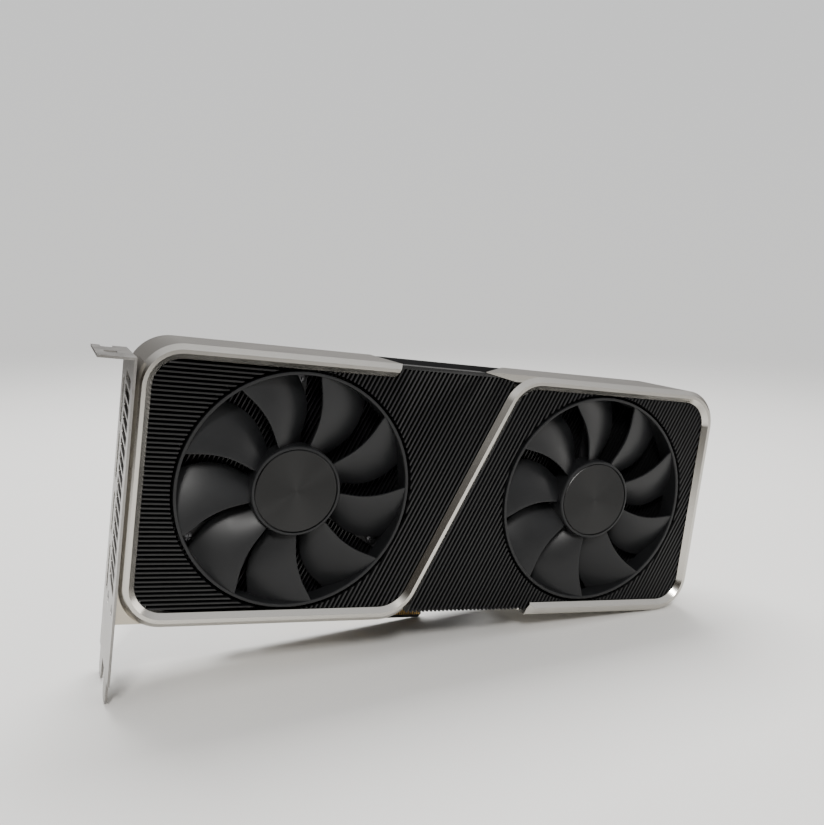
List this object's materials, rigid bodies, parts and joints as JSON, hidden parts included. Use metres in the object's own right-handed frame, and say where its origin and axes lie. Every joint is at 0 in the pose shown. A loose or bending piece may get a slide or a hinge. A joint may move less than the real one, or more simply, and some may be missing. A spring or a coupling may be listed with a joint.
{
  "type": "graphics card",
  "caption": "Graphics card with an S-shaped metal frame, ring-bladed cooling fans, black fin banks, a gold edge connector and a vented steel bracket.",
  "frame": {"origin": "key notch of the edge connector: middle of the notch, tip of the contact tongue, middle of the board's thickness", "axes": "+X from the bracket to the far end, +Y from the fans to the backplate, +Z from the edge connector to the card's upper edge"},
  "size_m": [0.2535, 0.0394, 0.1269],
  "materials": {
    "silver_frame": "satin, fine bead-blasted cast metal",
    "filler_metal": "satin",
    "black_fins": "satin black coating",
    "black_cover": "matt black coating",
    "bracket_steel": "bright plated",
    "fan_plastic": "satin moulded",
    "fan_cap": "circular brushed",
    "motor_steel": "plain",
    "motor_core": "varnished laminations",
    "bearing_bronze": "sintered bronze",
    "board_resin": "black solder mask",
    "gold_contacts": "gold plated",
    "copper": "nickel plated copper",
    "silicon": "polished",
    "package_resin": "moulded epoxy",
    "ferrite": "pressed powder",
    "capacitor_can": "bright drawn can",
    "thermal_pad": "soft grey",
    "socket_plastic": "moulded",
    "socket_shell": "nickel plated",
    "screw_steel": "black zinc"
  },
  "bodies": {
    "card": {"trim_frame": "silver_frame", "corner_filler": "filler_metal", "left_end_fins": "black_fins", "middle_fins": "black_fins", "lower_fins": "black_fins", "right_end_fins": "black_fins", "gpu_fin_stack": "black_fins", "tail_fin_stack": "black_fins", "centre_web": "black_cover", "heat_pipes": "copper", "cold_plate": "copper", "thermal_pads": "thermal_pad", "circuit_board": "board_resin", "edge_contacts": "gold_contacts", "gpu_package": "board_resin", "gpu_die": "silicon", "memory_chips": "package_resin", "power_inductors": "ferrite", "power_stages": "package_resin", "capacitors": "capacitor_can", "firmware_chips": "package_resin", "displayport_shells": "socket_shell", "displayport_tongues": "socket_plastic", "hdmi_shell": "socket_shell", "hdmi_tongue": "socket_plastic", "power_socket": "socket_plastic", "power_pins": "gold_contacts", "fan_headers": "socket_plastic", "io_bracket": "bracket_steel", "bracket_screws": "screw_steel", "backplate": "black_cover", "backplate_screws": "screw_steel", "tail_screws": "screw_steel", "standoffs": "bearing_bronze", "retention_spring": "motor_steel", "retention_screws": "screw_steel", "left_fan_bearing": "bearing_bronze", "left_fan_stator": "motor_core", "left_fan_driver_board": "board_resin", "left_fan_mount": "black_cover", "left_fan_screws": "screw_steel", "right_fan_bearing": "bearing_bronze", "right_fan_stator": "motor_core", "right_fan_driver_board": "board_resin", "right_fan_mount": "black_cover", "right_fan_screws": "screw_steel"},
    "left_fan": {"left_fan_rotor": "fan_plastic", "left_fan_cap": "fan_cap", "left_fan_magnet": "motor_core", "left_fan_shaft": "motor_steel"},
    "right_fan": {"right_fan_rotor": "fan_plastic", "right_fan_cap": "fan_cap", "right_fan_magnet": "motor_core", "right_fan_shaft": "motor_steel"}
  },
  "joints": [
    {"name": "left_fan_spin", "type": "hinge", "parent": "card", "child": "left_fan", "pos_m": [0.00175, -0.02829, 0.06155], "axis": [0, -1, 0], "continuous": true},
    {"name": "right_fan_spin", "type": "hinge", "parent": "card", "child": "right_fan", "pos_m": [0.13005, -0.02829, 0.06155], "axis": [0, -1, 0], "continuous": true}
  ]
}
